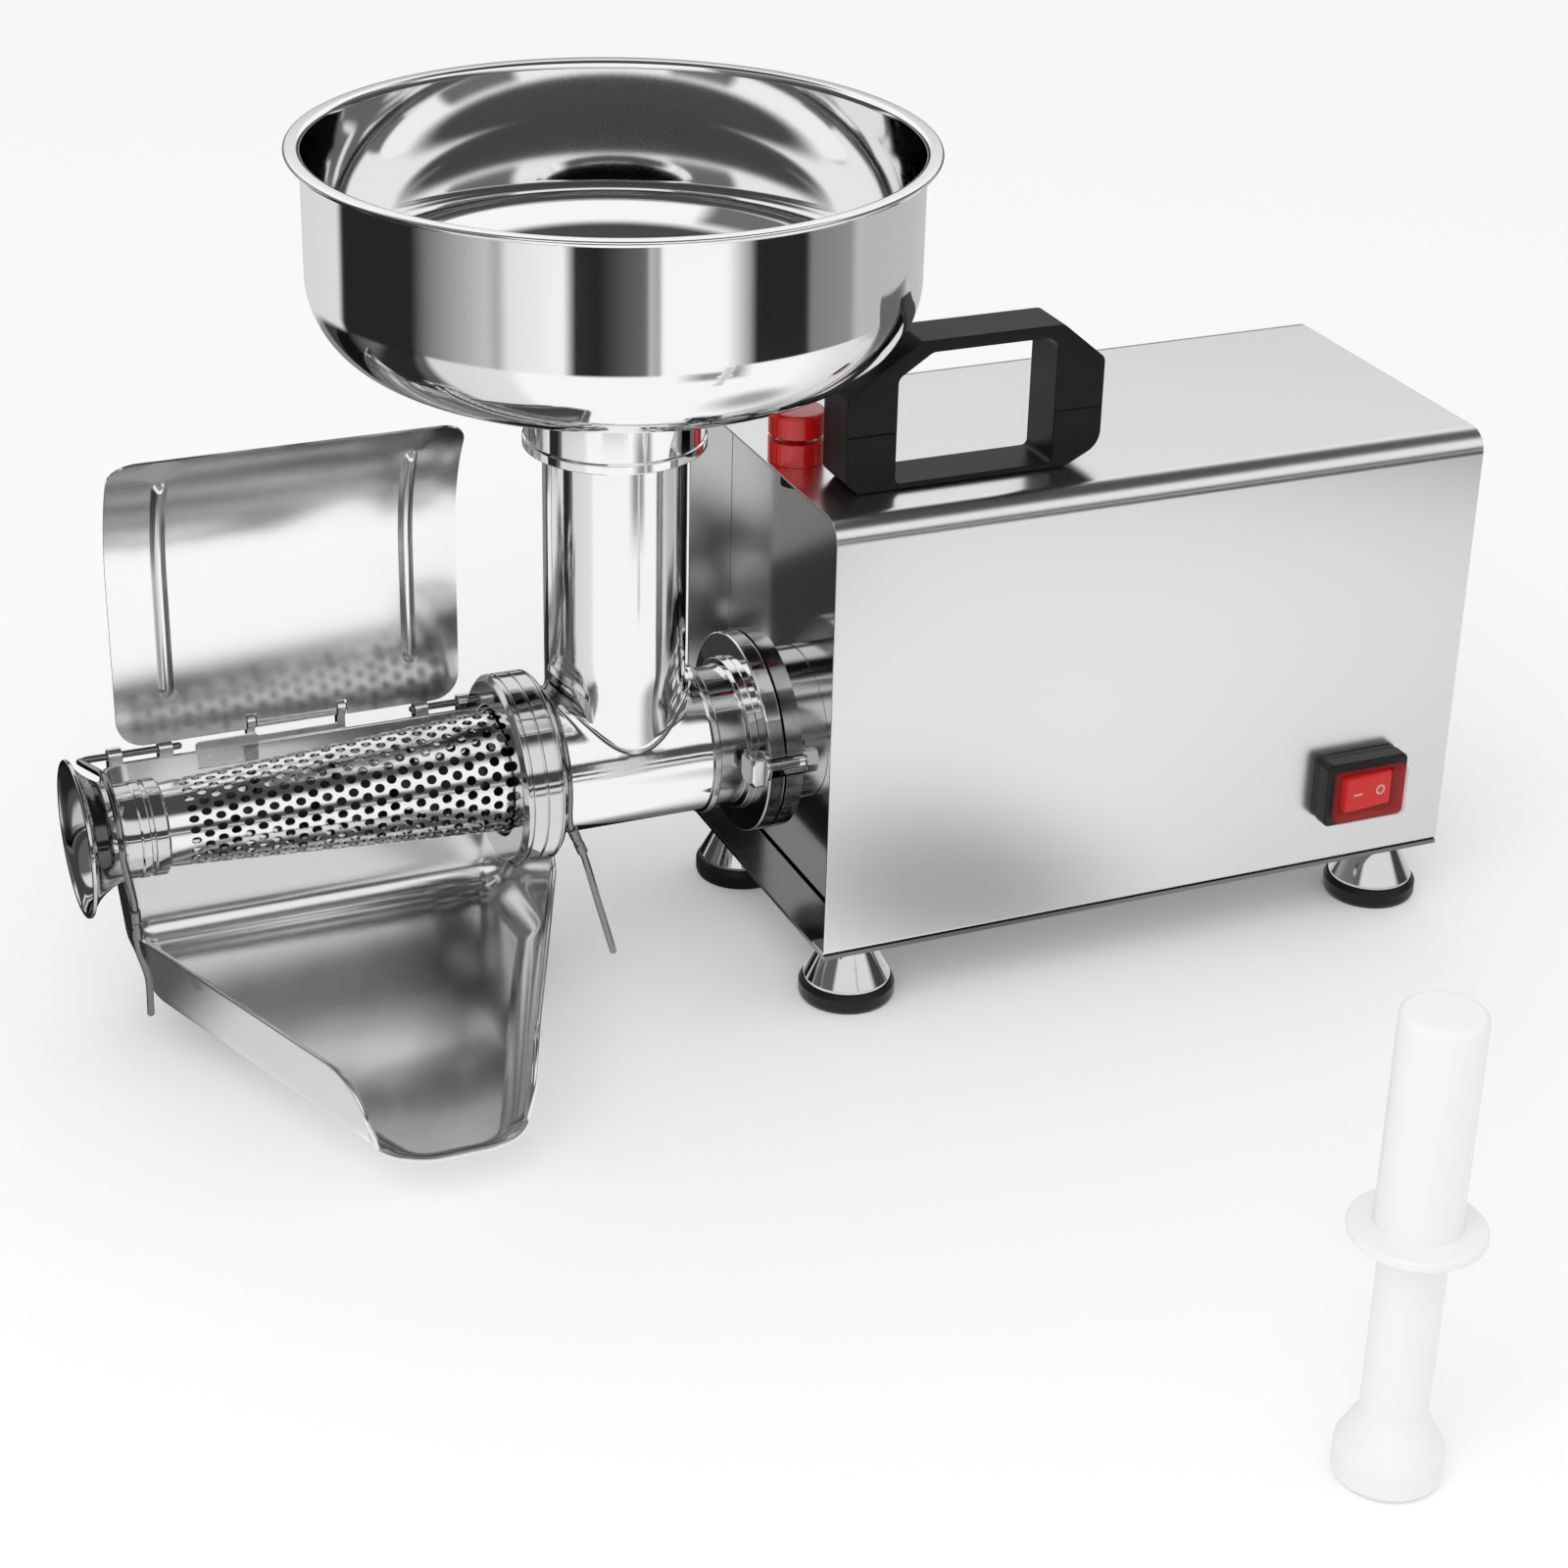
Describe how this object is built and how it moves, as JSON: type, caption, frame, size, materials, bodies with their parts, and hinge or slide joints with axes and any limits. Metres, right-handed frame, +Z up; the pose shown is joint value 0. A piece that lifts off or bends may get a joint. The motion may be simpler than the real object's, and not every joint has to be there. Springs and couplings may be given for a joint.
{
  "type": "electric tomato press",
  "caption": "Motor-driven screw press with a feed pan, a conical strainer, a juice tray with splash cover and a sheet-metal housing.",
  "frame": {"origin": "middle of the bounding box's underside, on the surface the part stands on", "axes": "+X along the barrel from the outlet to the rear panel, +Y from the switch side to the splash cover, +Z up"},
  "size_m": [0.621, 0.5832, 0.3704],
  "materials": {
    "brushed_sheet": "satin stainless sheet",
    "front_sheet": "dark polished sheet",
    "base_sheet": "satin stainless sheet",
    "polished_steel": "turned and polished",
    "cast_polished": "polished casting",
    "pan_steel": "mirror polished sheet",
    "tray_steel": "folded satin sheet",
    "cover_steel": "folded polished sheet",
    "perforated_steel": "perforated sheet",
    "wire_steel": "polished wire",
    "bolt_steel": "plated fasteners",
    "gear_steel": "machined steel",
    "core_steel": "stacked laminations",
    "copper_wire": "varnished copper",
    "cast_aluminium": "die cast",
    "gearbox_metal": "cast and polished",
    "painted_bracket": "black paint",
    "black_rubber": "matte",
    "black_plastic": "satin moulded",
    "switch_black": "semi gloss",
    "red_plastic": "glossy moulded",
    "red_boot": "clear red soft plastic",
    "white_can": "moulded",
    "ivory_plastic": "moulded",
    "white_plastic": "satin moulded"
  },
  "bodies": {
    "housing": {"housing_shell": "brushed_sheet", "front_panel": "front_sheet", "rear_panel": "brushed_sheet", "base_plate": "base_sheet", "base_screws": "bolt_steel", "rear_screws": "bolt_steel", "foot_cones": "polished_steel", "foot_pads": "black_rubber", "foot_bolts": "bolt_steel", "handle_lower": "black_plastic", "handle_upper": "black_plastic", "handle_screws": "bolt_steel", "reset_collar": "red_plastic", "reset_switch": "black_plastic", "switch_body": "switch_black", "switch_boot": "red_boot", "cable_gland": "switch_black", "gland_nut": "switch_black", "motor_stator": "core_steel", "motor_windings": "copper_wire", "motor_front_bell": "cast_aluminium", "motor_rear_bell": "cast_aluminium", "motor_bearings": "gear_steel", "motor_saddle": "painted_bracket", "capacitor": "white_can", "capacitor_strap": "bolt_steel", "terminal_block": "ivory_plastic", "gearbox_case": "gearbox_metal", "gearbox_cover": "cast_aluminium", "middle_bearings": "gear_steel", "output_bearings": "gear_steel", "shaft_seal": "black_rubber", "flange_gasket": "black_rubber", "press_body": "cast_polished", "clamp_bolts": "bolt_steel", "clamp_nuts": "bolt_steel", "ring_nut": "polished_steel", "strainer_cone": "perforated_steel", "end_collar": "polished_steel", "outlet_bell": "polished_steel", "juice_tray": "tray_steel", "hinge_bracket": "tray_steel", "hinge_rod": "wire_steel"},
    "rotor": {"motor_rotor": "core_steel", "motor_shaft": "gear_steel", "motor_fan": "switch_black", "motor_pinion": "gear_steel"},
    "middle": {"middle_gears": "gear_steel", "middle_shaft": "gear_steel"},
    "screw": {"press_screw": "cast_polished", "output_shaft": "gear_steel", "output_gear": "gear_steel"},
    "cover": {"splash_cover": "cover_steel"},
    "left_clip": {"clip_left": "wire_steel"},
    "right_clip": {"clip_right": "wire_steel"},
    "rocker": {"switch_rocker": "red_plastic"},
    "button": {"reset_cap": "red_plastic"},
    "pan": {"feed_pan": "pan_steel"},
    "pusher": {"food_pusher": "white_plastic"}
  },
  "joints": [
    {"name": "rotor_spin", "type": "hinge", "parent": "housing", "child": "rotor", "pos_m": [0.1235, 0.16235, 0.1041], "axis": [1, 0, 0], "continuous": true},
    {"name": "middle_spin", "type": "hinge", "parent": "housing", "child": "middle", "pos_m": [0.0445, 0.16235, 0.1521], "axis": [1, 0, 0], "continuous": true},
    {"name": "screw_spin", "type": "hinge", "parent": "housing", "child": "screw", "pos_m": [-0.1135, 0.16235, 0.1041], "axis": [1, 0, 0], "continuous": true},
    {"name": "cover_hinge", "type": "hinge", "parent": "housing", "child": "cover", "pos_m": [-0.2035, 0.21635, 0.118], "axis": [1, 0, 0], "range_deg": [0, 50]},
    {"name": "left_clip_hinge", "type": "hinge", "parent": "housing", "child": "left_clip", "pos_m": [-0.2755, 0.21795, 0.111], "axis": [-1, 0, 0], "range_deg": [0, 100]},
    {"name": "right_clip_hinge", "type": "hinge", "parent": "housing", "child": "right_clip", "pos_m": [-0.1315, 0.21795, 0.111], "axis": [-1, 0, 0], "range_deg": [0, 60]},
    {"name": "rocker_tilt", "type": "hinge", "parent": "housing", "child": "rocker", "pos_m": [0.245, 0.07535, 0.0699], "axis": [0, 0, -1], "range_deg": [0, 12]},
    {"name": "button_push", "type": "slide", "parent": "housing", "child": "button", "axis": [0, 0, -1], "range_m": [0, 0.0015], "stiffness_N_per_m": 400, "springref_m": -0.003},
    {"name": "pan_lift", "type": "slide", "parent": "housing", "child": "pan", "axis": [0, 0, 1], "range_m": [0, 0.045]},
    {"name": "pusher_lift", "type": "slide", "parent": "housing", "child": "pusher", "axis": [0, 0, 1], "range_m": [0, 0.25]}
  ],
  "couplings": [
    {"joint": "middle_spin", "follows": "rotor_spin", "ratio": -0.33333},
    {"joint": "screw_spin", "follows": "rotor_spin", "ratio": 0.11111}
  ]
}
